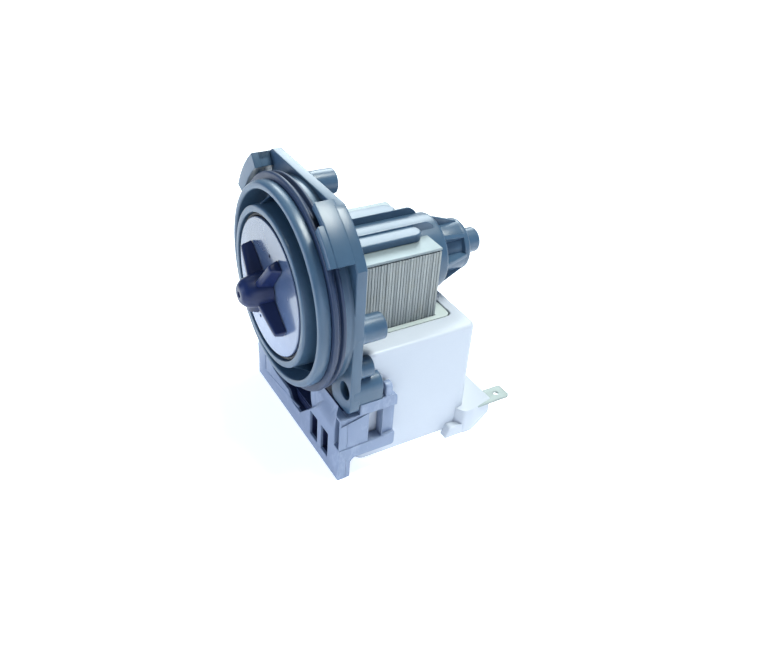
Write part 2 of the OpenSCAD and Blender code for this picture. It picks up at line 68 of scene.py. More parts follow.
# lugs
RIGHT_LUG_R = 36.0
RIGHT_LUG_LEN = 6.9
LEFT_LUG_R = 39.7
LEFT_LUG_LEN = 6.0
# impeller and disc
DISC_Y = 11.8
VANES = 4
VANE_TIP_R = 15.1
VANE_T, VANE_FOOT_T = 1.9, 3.8
VANE_TURN = 36.0
HUB_R = 4.9
NOSE_Y = 20.9
# motor
CAN_R = 12.4
CAN_END = 44.0
CORE_FRONT, CORE_BACK = 11.3, 37.3
CORE_HALF_W = 16.7
CORE_TOP = 10.8
CORE_BORE_R = 12.75
LEG_IN = 8.2
YOKE_TOP = 45.6
YOKE_LOW = 53.6
STRIP_T = 0.7
LAMINATIONS = 26
RIB_IN, RIB_OUT = 4.9, 10.8
RIB_END = 31.5
RIB_TOP = 13.4
FENCE_T = 0.55
FENCE_TOP = 13.9
HOUSING_R = 8.5
HOUSING_END = 55.0
GUSSETS = 8
NUB_R = 4.15
NUB_END = 62.0
# bracket
WALL_FRONT, WALL_REAR = -3.0, -0.2
FOOT_BACK = 1.4
CHEEK_IN = 27.4
CHEEK_BACK = 16.4
CHEEK_TOP = -26.9
CHEEK_LOW = -47.2
# coil cover
COVER_HALF_W = 27.0
COVER_FRONT, COVER_BACK = 5.6, 46.4
COVER_TOP = -13.0
COVER_CORNER_R = 3.2
COVER_WALL = 1.8
OPENING_HALF_W, OPENING_FRONT, OPENING_BACK = 19.1, 9.2, 42.4
BASE_Z = -55.4
SOCKET_TOP = -45.6
# terminals
TAB_X = 26.3
TAB_W = 6.3
TAB_T = 0.8
TAB_TOP = -45.8
TAB_END = 63.4


# ---------------------------------------------------------------- outlines
def arc(radius, start, end, steps=24, centre=(0.0, 0.0)):
    """Points on an arc; the angle runs from the second axis towards the first, in degrees."""
    turns = [math.radians(start + (end - start) * i / steps) for i in range(steps + 1)]
    return [(centre[0] + radius * math.sin(a), centre[1] + radius * math.cos(a)) for a in turns]


def circle(radius, centre=(0.0, 0.0), steps=48):
    return arc(radius, 0, 360 - 360 / steps, steps - 1, centre)


def rounded(points, radius, steps=4):
    """A closed outline with every corner rounded; a point may carry a radius of its own."""
    out = []
    count = len(points)
    for i in range(count):
        before, here, after = (Vector(points[j % count][:2]) for j in (i - 1, i, i + 1))
        own = points[i][2] if len(points[i]) > 2 else radius
        back, ahead = before - here, after - here
        reach = min(own, 0.45 * back.length, 0.45 * ahead.length)
        if reach < 1e-4:
            out.append(tuple(here))
            continue
        p, q = here + back.normalized() * reach, here + ahead.normalized() * reach
        for k in range(steps + 1):
            t = k / steps
            out.append(tuple(p * (1 - t) ** 2 + here * 2 * t * (1 - t) + q * t ** 2))
    return out


def box_outline(low, high, radius=0.0, steps=5):
    corners = [(low[0], low[1]), (high[0], low[1]), (high[0], high[1]), (low[0], high[1])]
    return rounded(corners, radius, steps) if radius else corners


def arc_band(r_in, r_out, start, end, steps=24):
    """Outline of part of a ring."""
    outer, inner = arc(r_out, start, end, steps), arc(r_in, end, start, steps)
    return outer + inner


def area(points):
    return 0.5 * sum(points[i - 1][0] * points[i][1] - points[i][0] * points[i - 1][1]
                     for i in range(len(points)))


def inset(points, distance):
    """Moves an anticlockwise outline inwards; a clockwise one, such as a hole, grows."""
    out = []
    count = len(points)
    for i in range(count):
        before, here, after = (Vector(points[j % count]) for j in (i - 1, i, i + 1))
        d1, d2 = (here - before).normalized(), (after - here).normalized()
        n1, n2 = Vector((-d1.y, d1.x)), Vector((-d2.y, d2.x))
        out.append(tuple(here + (n1 + n2) * distance / max(1 + n1.dot(n2), 0.35)))
    return out


# ---------------------------------------------------------------- shapes
PLANES = {"Y": (0, 2, 1), "Z": (0, 1, 2), "X": (1, 2, 0)}


class Shape:
    """Collects closed shells in millimetres and turns them into one mesh in metres."""

    def __init__(self):
        self.bm = bmesh.new()

    def ring(self, points):
        return [self.bm.verts.new(p) for p in points]

    def bridge(self, first, second):
        for i in range(len(first)):
            j = (i + 1) % len(first)
            self.bm.faces.new((first[i], first[j], second[j], second[i]))

    def slab(self, outer, low, high, edge=0.3, holes=(), axis="Y", steps=3):
        """An outline with holes made solid along an axis, with all its edges rounded."""
        order = PLANES[axis]
        loops = [outer if area(outer) > 0 else outer[::-1]]
        loops += [h if area(h) < 0 else h[::-1] for h in holes]
        edge = min(edge, (high - low) * 0.45)
        bend = [math.radians(90 * k / steps) for k in range(steps + 1)]
        half = [(edge * (1 - math.sin(a)), edge * (1 - math.cos(a))) for a in bend]
        levels = [(d, low + h) for d, h in half] + [(d, high - h) for d, h in reversed(half)]
        ends = ([], [])
        for loop in loops:
            rows = []
            for d, w in levels:
                points = []
                for u, v in (inset(loop, d) if d > 1e-6 else loop):
                    p = [0.0, 0.0, 0.0]
                    p[order[0]], p[order[1]], p[order[2]] = u, v, w
                    points.append(p)
                rows.append(self.ring(points))
            for a, b in zip(rows, rows[1:]):
                self.bridge(a, b)
            ends[0].append(rows[0])
            ends[1].append(rows[-1])
        for side in ends:
            flat = [[Vector((v.co[order[0]], v.co[order[1]], 0)) for v in row] for row in side]
            verts = [v for row in side for v in row]
            for tri in tessellate_polygon(flat):
                if len(set(tri)) == 3 and not self.bm.faces.get([verts[i] for i in tri]):
                    self.bm.faces.new([verts[i] for i in tri])
        return self

    def turn(self, profile, segments=160):
        """A closed profile of radius and Y, turned about the rotor axis."""
        rows = []
        for i in range(segments):
            a = 2 * math.pi * i / segments
            rows.append(self.ring([(r * math.sin(a), y, r * math.cos(a)) for r, y in profile]))
        for i in range(segments):
            self.bridge(rows[i], rows[(i + 1) % segments])
        return self

    def loft(self, rings):
        """Joins closed rings of equally many points, the last one to the first."""
        rows = [self.ring(r) for r in rings]
        for a, b in zip(rows, rows[1:] + rows[:1]):
            self.bridge(a, b)
        return self

    def stack(self, rings):
        """Joins closed rings of equally many points and closes both ends."""
        rows = [self.ring(r) for r in rings]
        for a, b in zip(rows, rows[1:]):
            self.bridge(a, b)
        self.bm.faces.new(rows[0])
        self.bm.faces.new(rows[-1])
        return self

    def add(self, other, matrix=Matrix.Identity(4)):
        mesh = bpy.data.meshes.new("part")
        other.bm.to_mesh(mesh)
        mesh.transform(matrix)
        self.bm.from_mesh(mesh)
        bpy.data.meshes.remove(mesh)
        return self

    def both_sides(self, other):
        """Adds a shape and its mirror image in X."""
        return self.add(other).add(other, Matrix.Scale(-1, 4, (1, 0, 0)))

    def mesh(self, name, sharp=32):
        bmesh.ops.remove_doubles(self.bm, verts=self.bm.verts, dist=2e-4)
        bmesh.ops.dissolve_degenerate(self.bm, edges=self.bm.edges, dist=1e-5)
        bmesh.ops.recalc_face_normals(self.bm, faces=self.bm.faces)
        mesh = bpy.data.meshes.new(name)
        self.bm.to_mesh(mesh)
        mesh.transform(Matrix.Scale(MM, 4))
        mesh.shade_smooth()
        mesh.set_sharp_from_angle(angle=math.radians(sharp))
        return mesh


def turned_y(degrees):
    """A turn about the rotor axis, from +Z towards +X."""
    return Matrix.Rotation(math.radians(degrees), 4, "Y")


def put(name, mesh, material, body, replaces=()):
    """Makes a finished object that rides on a body and stands for CAD nodes."""
    piece = bpy.data.objects.new(name, mesh)
    bpy.context.scene.collection.objects.link(piece)
    mesh.materials.clear()
    mesh.materials.append(material)
    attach(piece, body)
    if replaces:
        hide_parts(*replaces)
    return piece


def plain_mesh(piece, name):
    """The evaluated result of a modifier stack as a plain mesh."""
    depsgraph = bpy.context.evaluated_depsgraph_get()
    mesh = bpy.data.meshes.new_from_object(piece.evaluated_get(depsgraph))
    mesh.name = name
    return mesh


# ---------------------------------------------------------------- repeats with Geometry Nodes
def repeat_tree():
    """A tree that copies its mesh along and about the rotor axis, each copy a little out of line."""
    tree = bpy.data.node_groups.new("copies_on_axis", "GeometryNodeTree")
    face = tree.interface
    face.new_socket("Mesh", in_out="INPUT", socket_type="NodeSocketGeometry")
    for name, kind, value in (("Count", "NodeSocketInt", 1), ("Step", "NodeSocketFloat", 0.0),
                              ("Turn", "NodeSocketFloat", 0.0), ("Slack", "NodeSocketFloat", 0.0),
                              ("Material", "NodeSocketMaterial", None)):
        socket = face.new_socket(name, in_out="INPUT", socket_type=kind)
        if value is not None:
            socket.default_value = value
    face.new_socket("Mesh", in_out="OUTPUT", socket_type="NodeSocketGeometry")
    new, link = tree.nodes.new, tree.links.new
    start, end = new("NodeGroupInput"), new("NodeGroupOutput")
    line = new("GeometryNodeMeshLine")
    line.mode = "OFFSET"
    offset = new("ShaderNodeCombineXYZ")
    link(start.outputs["Step"], offset.inputs["Y"])
    link(start.outputs["Count"], line.inputs["Count"])
    link(offset.outputs[0], line.inputs["Offset"])
    index = new("GeometryNodeInputIndex")
    angle = new("ShaderNodeMath")
    angle.operation = "MULTIPLY"
    link(index.outputs[0], angle.inputs[0])
    link(start.outputs["Turn"], angle.inputs[1])
    spin = new("ShaderNodeCombineXYZ")
    link(angle.outputs[0], spin.inputs["Y"])
    shake = new("FunctionNodeRandomValue")
    shake.data_type = "FLOAT_VECTOR"
    shake.inputs["Min"].default_value = (-1, 0, -1)
    shake.inputs["Max"].default_value = (1, 0, 1)
    shake.inputs["Seed"].default_value = 7
    scale = new("ShaderNodeVectorMath")
    scale.operation = "SCALE"
    link(shake.outputs["Value"], scale.inputs[0])
    link(start.outputs["Slack"], scale.inputs["Scale"])
    move = new("GeometryNodeSetPosition")
    link(line.outputs["Mesh"], move.inputs["Geometry"])
    link(scale.outputs[0], move.inputs["Offset"])
    copies = new("GeometryNodeInstanceOnPoints")
    link(move.outputs[0], copies.inputs["Points"])
    link(start.outputs["Mesh"], copies.inputs["Instance"])
    link(spin.outputs[0], copies.inputs["Rotation"])
    real = new("GeometryNodeRealizeInstances")
    link(copies.outputs[0], real.inputs[0])
    paint = new("GeometryNodeSetMaterial")
    link(real.outputs[0], paint.inputs["Geometry"])
    link(start.outputs["Material"], paint.inputs["Material"])
    link(paint.outputs[0], end.inputs[0])
    return tree


REPEAT = repeat_tree()


def copies(mesh, name, material, count, step=0.0, turn=0.0, slack=0.0):
    """A mesh repeated by the tree above, as a plain mesh. Step and slack are in millimetres."""
    piece = bpy.data.objects.new(name, mesh)
    bpy.context.scene.collection.objects.link(piece)
    modifier = piece.modifiers.new("copies", "NODES")
    modifier.node_group = REPEAT
    values = {"Count": count, "Step": step * MM, "Turn": math.radians(turn), "Slack": slack * MM,
              "Material": material}
    for item in REPEAT.interface.items_tree:
        if item.in_out == "INPUT" and item.name in values:
            modifier[item.identifier] = values[item.name]
    result = plain_mesh(piece, name)
    bpy.data.objects.remove(piece)
    return result


def joined(name, meshes, sharp=32):
    """Several meshes as one."""
    bm = bmesh.new()
    for m in meshes:
        bm.from_mesh(m)
    mesh = bpy.data.meshes.new(name)
    bm.to_mesh(mesh)
    mesh.shade_smooth()
    mesh.set_sharp_from_angle(angle=math.radians(sharp))
    return mesh


# ---------------------------------------------------------------- materials
class Sum:
    """A shader socket that can stand in a Python expression."""

    def __init__(self, paint, socket):
        self.paint, self.socket = paint, socket

    def _do(self, operation, first, second):
        return self.paint.node("Math", {"operation": operation}, {0: first, 1: second})[0]

    def __add__(self, other): return self._do("ADD", self, other)
    def __radd__(self, other): return self._do("ADD", other, self)
    def __sub__(self, other): return self._do("SUBTRACT", self, other)
    def __rsub__(self, other): return self._do("SUBTRACT", other, self)
    def __mul__(self, other): return self._do("MULTIPLY", self, other)
    def __rmul__(self, other): return self._do("MULTIPLY", other, self)


class Outputs:
    def __init__(self, paint, node):
        self.paint, self.made = paint, node

    def __getitem__(self, key):
        return Sum(self.paint, self.made.outputs[key])


class Paint:
    """A material built from nodes around one Principled shader."""

    def __init__(self, name, **constants):
        self.material = bpy.data.materials.new(name)
        self.material.use_nodes = True
        self.tree = self.material.node_tree
        self.shader = self.tree.nodes["Principled BSDF"]
        for key, value in constants.items():
            self.shader.inputs[key.replace("_", " ")].default_value = value
        self.place = self.node("TexCoord")["Object"]

    def node(self, kind, settings=None, inputs=None):
        made = self.tree.nodes.new("ShaderNode" + kind)
        for key, value in (settings or {}).items():
            if key == "stops":
                ramp = made.color_ramp.elements
                while len(ramp) < len(value):
                    ramp.new(0.5)
                for element, (position, colour) in zip(ramp, value):
                    element.position = position
                    element.color = (*colour, 1) if len(colour) == 3 else colour
            else:
                setattr(made, key, value)
        for key, value in (inputs or {}).items():
            if isinstance(value, Sum):
                self.tree.links.new(value.socket, made.inputs[key])
            else:
                made.inputs[key].default_value = value
        return Outputs(self, made)

    def noise(self, scale, detail=3.0, rough=0.5, place=None):
        """Noise of a given number of waves per metre."""
        return self.node("TexNoise", None, {"Vector": place or self.place, "Scale": scale,
                                            "Detail": detail, "Roughness": rough})["Fac"]

    def stretched(self, x, y, z):
        """Object coordinates scaled by axis."""
        return self.node("Mapping", None, {"Vector": self.place, "Scale": (x, y, z)})[0]

    def axis(self, letter):
        return self.node("SeparateXYZ", None, {0: self.place})[letter]

    def ramp(self, value, *stops):
        return self.node("ValToRGB", {"stops": stops}, {0: value})["Color"]

    def mix(self, factor, first, second):
        made = self.node("Mix", {"data_type": "RGBA"}, {0: factor})
        for slot, value in ((6, first), (7, second)):
            if isinstance(value, Sum):
                self.tree.links.new(value.socket, made.made.inputs[slot])
            else:
                made.made.inputs[slot].default_value = (*value, 1)
        return made[2]

    def out(self, **links):
        for key, value in links.items():
            self.tree.links.new(value.socket, self.shader.inputs[key.replace("_", " ")])
        return self

    def bump(self, height, distance, strength=1.0):
        """A bump of the height 0 to 1 over a distance in millimetres."""
        normal = self.node("Bump", None, {"Height": height, "Distance": distance * MM,
                                          "Strength": strength})
        return self.out(Normal=normal["Normal"])


def moulded(name, colour, dark, rough=0.34, grain=0.02, ior=1.5):
    """Injection-moulded plastic: faint flow marks, a fine skin and slightly uneven gloss."""
    p = Paint(name, IOR=ior)
    cloud = p.noise(60, 4, 0.55)
    flow = p.noise(1.0, 3, 0.6, p.stretched(40, 160, 40))
    speck = p.ramp(p.noise(900, 2, 0.5), (0.60, (0, 0, 0)), (0.75, (1, 1, 1)))
    shade = 0.55 * cloud + 0.45 * flow
    p.out(Base_Color=p.mix(p.ramp(shade, (0.3, (0, 0, 0)), (0.7, (1, 1, 1))), dark, colour))
    skin = p.noise(2600, 3, 0.6)
    p.out(Roughness=rough - 0.06 + 0.14 * cloud + 0.05 * speck)
    p.bump(0.7 * skin + 0.3 * flow, grain, 0.6)
    return p.material


def bracket_plastic():
    """Blue-grey moulded plastic with pale rub marks; the hollows between its walls carry painted shade, a
    near-black colour set by position.
    """
    p = Paint("bracket_plastic", IOR=1.5)
    cloud = p.noise(70, 4, 0.6)
    rub = p.ramp(p.noise(1.0, 5, 0.7, p.stretched(240, 240, 90)), (0.54, (0, 0, 0)), (0.74, (1, 1, 1)))
    outer = p.mix(0.55 * rub + 0.3 * cloud, (0.155, 0.205, 0.325), (0.33, 0.39, 0.52))
    test = lambda kind, first, second: p.node("Math", {"operation": kind}, {0: first, 1: second})[0]
    across, up, depth = p.axis("X"), p.axis("Z"), p.axis("Y")
    # painted shade: between the cheeks, faces behind the front wall's back, and faces behind its front in the low
    # or left part (bay and slot walls), turn near-black navy
    shade_low_or_left = test("MAXIMUM", test("LESS_THAN", up, -0.0436), test("LESS_THAN", across, 0.0065))
    hollow = test("MAXIMUM", shade_low_or_left * test("GREATER_THAN", depth, -0.0021),
                  test("GREATER_THAN", depth, -0.00035))
    between = test("LESS_THAN", p.node("Math", {"operation": "ABSOLUTE"}, {0: across})[0], 0.0272)
    p.out(Base_Color=p.mix(hollow * between, outer, (0.012, 0.022, 0.075)), Roughness=0.36 + 0.14 * cloud)
    p.bump(0.6 * p.noise(2200, 3, 0.6) + 0.4 * rub, 0.04, 0.6)
    return p.material


def rubber(name, colour, dark, rough=0.55):
    p = Paint(name, IOR=1.45)
    dust = p.noise(180, 5, 0.65)
    p.out(Base_Color=p.mix(dust, dark, colour), Roughness=rough - 0.1 + 0.25 * dust)
    p.bump(p.noise(1400, 3, 0.6), 0.03, 0.5)
    return p.material


def steel(name, colour, dark, rough=0.3, along=(30, 2500, 30), metallic=1.0):
    """Metal with fine drawn lines along one axis."""
    p = Paint(name, Metallic=metallic)
    lines = p.noise(1.0, 3, 0.6, p.stretched(*along))
    cloud = p.noise(150, 3)
    p.out(Base_Color=p.mix(0.5 * lines + 0.5 * cloud, dark, colour), Roughness=rough - 0.08 + 0.2 * lines)
    p.bump(lines, 0.01, 0.5)
    return p.material


def laminated_steel():
    """Cut edges of stacked sheets: thin dark gaps, its own tone on each sheet, faint brown stains."""
    p = Paint("laminations", Metallic=0.2)
    sheet = p.noise(1.0, 0, 0.5, p.stretched(1, 900, 1))
    streak = p.noise(1.0, 4, 0.65, p.stretched(420, 1600, 50))
    stain = p.ramp(p.noise(170, 5, 0.7), (0.50, (0, 0, 0)), (0.70, (1, 1, 1)))
    sheets_per_mm = LAMINATIONS / (CORE_BACK - CORE_FRONT)
    place = p.axis("Y") * (1000 * sheets_per_mm) - CORE_FRONT * sheets_per_mm
    ridge = p.node("Math", {"operation": "PINGPONG"}, {0: place, 1: 0.5})[0]
    gap = p.ramp(ridge, (0.04, (1, 1, 1)), (0.13, (0, 0, 0)))
    tone = p.ramp(0.5 * sheet + 0.5 * streak, (0.36, (0.20, 0.22, 0.225)), (0.64, (0.37, 0.395, 0.395)))
    tone = p.mix(0.45 * stain, tone, (0.26, 0.25, 0.19))
    p.out(Base_Color=p.mix(0.6 * gap, tone, (0.06, 0.065, 0.06)), Roughness=0.5 + 0.2 * streak)
    p.bump(streak, 0.03, 0.5)
    return p.material


def wound_copper():
    """Enamelled wire in even turns."""
    p = Paint("winding_copper", Metallic=0.85)
    turns = p.node("TexWave", {"wave_type": "BANDS", "bands_direction": "Z", "wave_profile": "SIN"},
                   {"Vector": p.place, "Scale": 700.0, "Distortion": 0.2})["Fac"]
    cloud = p.noise(400, 3)
    p.out(Base_Color=p.mix(0.6 * turns + 0.4 * cloud, (0.25, 0.07, 0.02), (0.62, 0.25, 0.09)),
          Roughness=0.25 + 0.25 * cloud)
    p.bump(turns, 0.12, 0.8)
    return p.material


def disc_finish():
    """Glossy pale disc with faint turned marks and a few fine scuffs; painted shade darkens its colour towards
    the top.
    """
    p = Paint("disc_plastic", IOR=1.5, Coat_Weight=0.5, Coat_Roughness=0.06)
    cloud = p.noise(90, 4, 0.6)
    scuff = p.ramp(p.noise(1.0, 5, 0.7, p.stretched(900, 60, 160)), (0.62, (0, 0, 0)), (0.72, (1, 1, 1)))
    # painted shade: the base colour runs darker towards the top of the disc
    upper = p.ramp(p.axis("Z") * 30.0 + 0.5, (0.05, (0, 0, 0)), (0.85, (1, 1, 1)))
    tone = p.mix(cloud, (0.12, 0.175, 0.32), (0.175, 0.24, 0.405))
    p.out(Base_Color=p.mix(0.75 * upper, tone, (0.03, 0.05, 0.10)),
          Roughness=0.16 + 0.12 * cloud + 0.1 * scuff)
    p.bump(0.6 * scuff + 0.4 * p.noise(1500, 2), 0.01, 0.5)
    return p.material


def white_plastic(name, colour, dark, rough=0.38):
    p = Paint(name, IOR=1.48)
    cloud = p.noise(35, 4, 0.55)
    p.out(Base_Color=p.mix(cloud, dark, colour), Roughness=rough - 0.05 + 0.12 * p.noise(220, 4))
    p.bump(0.6 * p.noise(1.0, 3, 0.6, p.stretched(50, 50, 220)) + 0.4 * p.noise(2200, 3), 0.03, 0.5)
    return p.material


FLANGE = moulded("flange_plastic", (0.056, 0.108, 0.178), (0.038, 0.080, 0.138), rough=0.33)
BRACKET = bracket_plastic()
IMPELLER = moulded("impeller_plastic", (0.006, 0.018, 0.085), (0.004, 0.012, 0.06),
                   rough=0.34, grain=0.015, ior=1.4)
DARK_PLASTIC = moulded("carrier_plastic", (0.03, 0.03, 0.035), (0.015, 0.015, 0.02), rough=0.45)
PALE_PLASTIC = moulded("dog_plastic", (0.62, 0.61, 0.55), (0.5, 0.49, 0.43), rough=0.4)
WASHER = moulded("washer_plastic", (0.5, 0.43, 0.27), (0.4, 0.33, 0.2), rough=0.4)
COVER = white_plastic("cover_plastic", (0.50, 0.535, 0.60), (0.47, 0.505, 0.575))
FORMER = white_plastic("former_plastic", (0.49, 0.55, 0.54), (0.45, 0.51, 0.50))
SEAL = rubber("seal_rubber", (0.022, 0.042, 0.095), (0.012, 0.026, 0.065), 0.42)
BLACK_RUBBER = rubber("black_rubber", (0.02, 0.02, 0.025), (0.006, 0.006, 0.01))
DISC = disc_finish()
LAMINATED = laminated_steel()
STRIP = steel("core_strip", (0.27, 0.32, 0.34), (0.14, 0.18, 0.20), rough=0.46,
              along=(900, 40, 900), metallic=0.25)
TERMINAL = steel("terminal_tin", (0.33, 0.38, 0.37), (0.24, 0.285, 0.28), rough=0.55,
                 along=(1800, 60, 60), metallic=0.25)
SHAFT_STEEL = steel("shaft_steel", (0.66, 0.67, 0.7), (0.5, 0.51, 0.54), rough=0.18)
LEAD_METAL = steel("lead_metal", (0.7, 0.7, 0.72), (0.55, 0.55, 0.57), rough=0.3)
BUSH = steel("sintered_bush", (0.32, 0.27, 0.22), (0.2, 0.17, 0.14), rough=0.5, along=(900, 900, 900))
FERRITE = moulded("magnet_ferrite", (0.05, 0.05, 0.055), (0.03, 0.03, 0.033), rough=0.6, grain=0.08)
COPPER = wound_copper()


# ---------------------------------------------------------------- mounting flange
def plate_outline():
    """Right side, lower lobes, left side, left lug and the two upper corners."""
    lobe_in = 18.9
    top_right = math.degrees(math.acos(PLATE_TOP / PLATE_CORNER_R))
    side_right = math.degrees(math.asin(PLATE_HALF_W / PLATE_CORNER_R))
    top_left = math.degrees(math.acos(PLATE_TOP / LEFT_LUG_R))
    low_turn = math.degrees(math.asin(lobe_in / SPIGOT_R))
    right = arc(PLATE_CORNER_R, top_right, side_right, 10)
    lobe = rounded([(PLATE_HALF_W, -15), (PLATE_HALF_W, -PLATE_LOW, 3.4), (lobe_in + 0.6, -PLATE_LOW, 3.4),
                    (lobe_in, -24.5, 0.6)], 0, 6)
    lobe = [p for p in lobe if p[1] < -14.9]
    low = arc(SPIGOT_R, 180 - low_turn, 180 + low_turn, 24)
    left_lobe = [(-x, z) for x, z in reversed(lobe)]
    lug_side = arc(LEFT_LUG_R, -66, -top_left, 16)
    inner = arc(PLATE_CORNER_R - 3, -68.5, -66, 2)
    return right + lobe + low + left_lobe + inner + lug_side


def boss(x, z, radius, end, bore=0.0, depth=5.0):
    """A round post behind the plate with a rounded rim and a blind core hole."""
    floor = end - depth
    profile = rounded([(0, 1.5, 0), (radius + 0.25, 1.5, 0), (radius + 0.25, PLATE_T, 0.5),
                       (radius, PLATE_T + 0.6, 0.5), (radius - 0.06, end, 0.45), (bore, end, 0.15),
                       (bore * 0.95, floor, 0.1), (0, floor, 0)], 0, 4)
    if not bore:
        profile = rounded([(0, 1.5, 0), (radius + 0.25, 1.5, 0), (radius + 0.25, PLATE_T, 0.5),
                           (radius, PLATE_T + 0.6, 0.5), (radius - 0.06, end, 0.45), (0, end, 0)], 0, 4)
    return Shape().add(Shape().turn(profile, 48), Matrix.Translation((x, 0, z)))


def spigot_rings():
    """Groove floor, outer ring, seal seat, inner collar and shelf as one turned profile."""
    ring_in = SPIGOT_R - SPIGOT_WALL
    seat = SPIGOT_R - 0.8
    return rounded([
        (CHAMBER_R, 0.5, 0), (CHAMBER_R, -SHELF_Y, 0.2), (COLLAR_BORE_R, -SHELF_Y, 0),
        (COLLAR_BORE_R, -COLLAR_LEN, 0.45), (COLLAR_R, -COLLAR_LEN, 0.7),
        (COLLAR_R + 0.35, -GROOVE_FLOOR, 0.8), (ring_in - 0.3, -GROOVE_FLOOR, 0.8),
        (ring_in, -SPIGOT_LEN, 0.8), (SPIGOT_R - 0.5, -SPIGOT_LEN, 1.0),
        (SPIGOT_R, -SPIGOT_LEN + 1.4, 0.6), (SPIGOT_R, SEAL_FRONT, 0.25), (seat, SEAL_FRONT, 0),
        (seat, SEAL_BACK, 0), (SPIGOT_R, SEAL_BACK, 0.3), (SPIGOT_R, -0.6, 0.4), (SPIGOT_R + 0.5, 0, 0.3),
        (SPIGOT_R + 0.5, 0.5, 0)], 0, 5)


def flange_mesh():
    s = Shape()
    windows = [arc_band(34.6, 37.3, -63, -42)]
    screws = [circle(SCREW_R, (side * SCREW_X, SCREW_Z), 40) for side in (-1, 1)]
    s.slab(plate_outline(), 0, PLATE_T, 0.35, windows + screws + [circle(CAN_R + 0.05, steps=96)], steps=4)
    s.turn(spigot_rings(), 192)
    # three gussets across the groove, sloping from the collar down to the ring
    web_in, web_out = COLLAR_R - 0.4, SPIGOT_R - SPIGOT_WALL + 0.4
    for angle in (-20, 147, 255):
        web = Shape().slab(rounded([(-10.2, web_in, 0), (-10.0, COLLAR_R + 0.2, 0.2), (-6.0, COLLAR_R + 2.2, 2.2),
                                    (-2.8, web_out, 0), (-1.5, web_out, 0), (-1.5, web_in, 0)], 0.1, 5),
                           -0.65, 0.65, 0.2, axis="X")
        s.add(web, turned_y(angle))
    # right lug: a wall with an inward lip along its lower half
    s.slab(arc_band(RIGHT_LUG_R - 1.9, PLATE_CORNER_R - 0.06, 24.8, 54.5), -5.1, 1, 0.4, steps=4)
    s.slab(arc_band(RIGHT_LUG_R - 2.4, PLATE_CORNER_R - 0.3, 36, 54.4), -RIGHT_LUG_LEN, -4.6, 0.35, steps=4)
    # left lug: a deeper hook with its lip turned inwards and closed at its upper end
    s.slab(rounded(arc_band(LEFT_LUG_R - 2.2, LEFT_LUG_R, -65.5, -38), 0.05), -LEFT_LUG_LEN + 0.4, 1, 0.3)
    s.slab(rounded(arc_band(LEFT_LUG_R - 4.6, LEFT_LUG_R, -65.6, -37.9), 0.05), -LEFT_LUG_LEN, -3.8,
           0.25, steps=4)
    s.slab(rounded(arc_band(LEFT_LUG_R - 4.5, LEFT_LUG_R - 0.02, -41.5, -38, steps=4), 0.05),
           -LEFT_LUG_LEN + 0.4, 1, 0.2)
    # ribs on top of the core
    mid, half = (RIB_IN + RIB_OUT) / 2, (RIB_OUT - RIB_IN) / 2
    rib = [(RIB_IN, 1)] + [(RIB_OUT, 1)] + arc(half, 90, -90, 16, (mid, RIB_END))
    s.both_sides(Shape().slab(rib, CORE_TOP, RIB_TOP, 0.45, axis="Z", steps=4))
    # low fences that run on over the can, rounded off at the back
    fence = rounded([(1, 10.7), (41.6, 10.7), (40.9, 12.2, 1.5), (38.6, FENCE_TOP, 2.2),
                     (1, FENCE_TOP)], 0, 6)
    s.both_sides(Shape().slab(fence, RIB_IN - 0.02, RIB_IN + FENCE_T, 0.15, axis="X"))
    # bosses
    s.add(boss(-4.9, 27.9, 3.8, BOSS_END, 1.6))
    s.both_sides(boss(26.8, -3.05, 4.1, BOSS_END, 1.6))
    s.both_sides(boss(27.4, -15.9, 3.3, 8.0))
    wall = SCREW_R + 1.15
    tunnel = arc(wall, -90, 90, 24, (SCREW_X, SCREW_Z)) + rounded(
        [(SCREW_X + wall, CHEEK_TOP, 0.3), (SCREW_X - wall, CHEEK_TOP, 0.3)], 0.3)
    screw_bore = circle(SCREW_R, (SCREW_X, SCREW_Z), 40)
    s.both_sides(Shape().slab(tunnel, 1, BOSS_END - 0.2, 0.4, [screw_bore], steps=4))
    return s.mesh("mounting_flange_moulding")


put("flange_moulding", flange_mesh(), FLANGE, "motor", ["mounting_flange"])


# ---------------------------------------------------------------- rubber ring on the spigot
def seal_mesh():
    seat = SPIGOT_R - 0.75
    back = SEAL_BACK - 0.05
    front = SEAL_FRONT + 0.05
    profile = rounded([(seat, front, 0), (SEAL_R - 0.3, front, 0.4), (SEAL_R, front + 0.9, 0.5),
                       (SEAL_R - 0.5, front + 1.5, 0.4), (SEAL_R - 1.5, front + 1.9, 0.5),
                       (SEAL_R - 1.5, back - 1.6, 0.5), (SEAL_R - 0.3, back - 1.1, 0.5),
                       (SEAL_R - 0.4, back - 0.2, 0.4), (seat, back, 0)], 0, 5)
    return Shape().turn(profile, 192).mesh("spigot_seal_ring", 50)


put("seal_ring", seal_mesh(), SEAL, "motor", ["spigot_seal"])


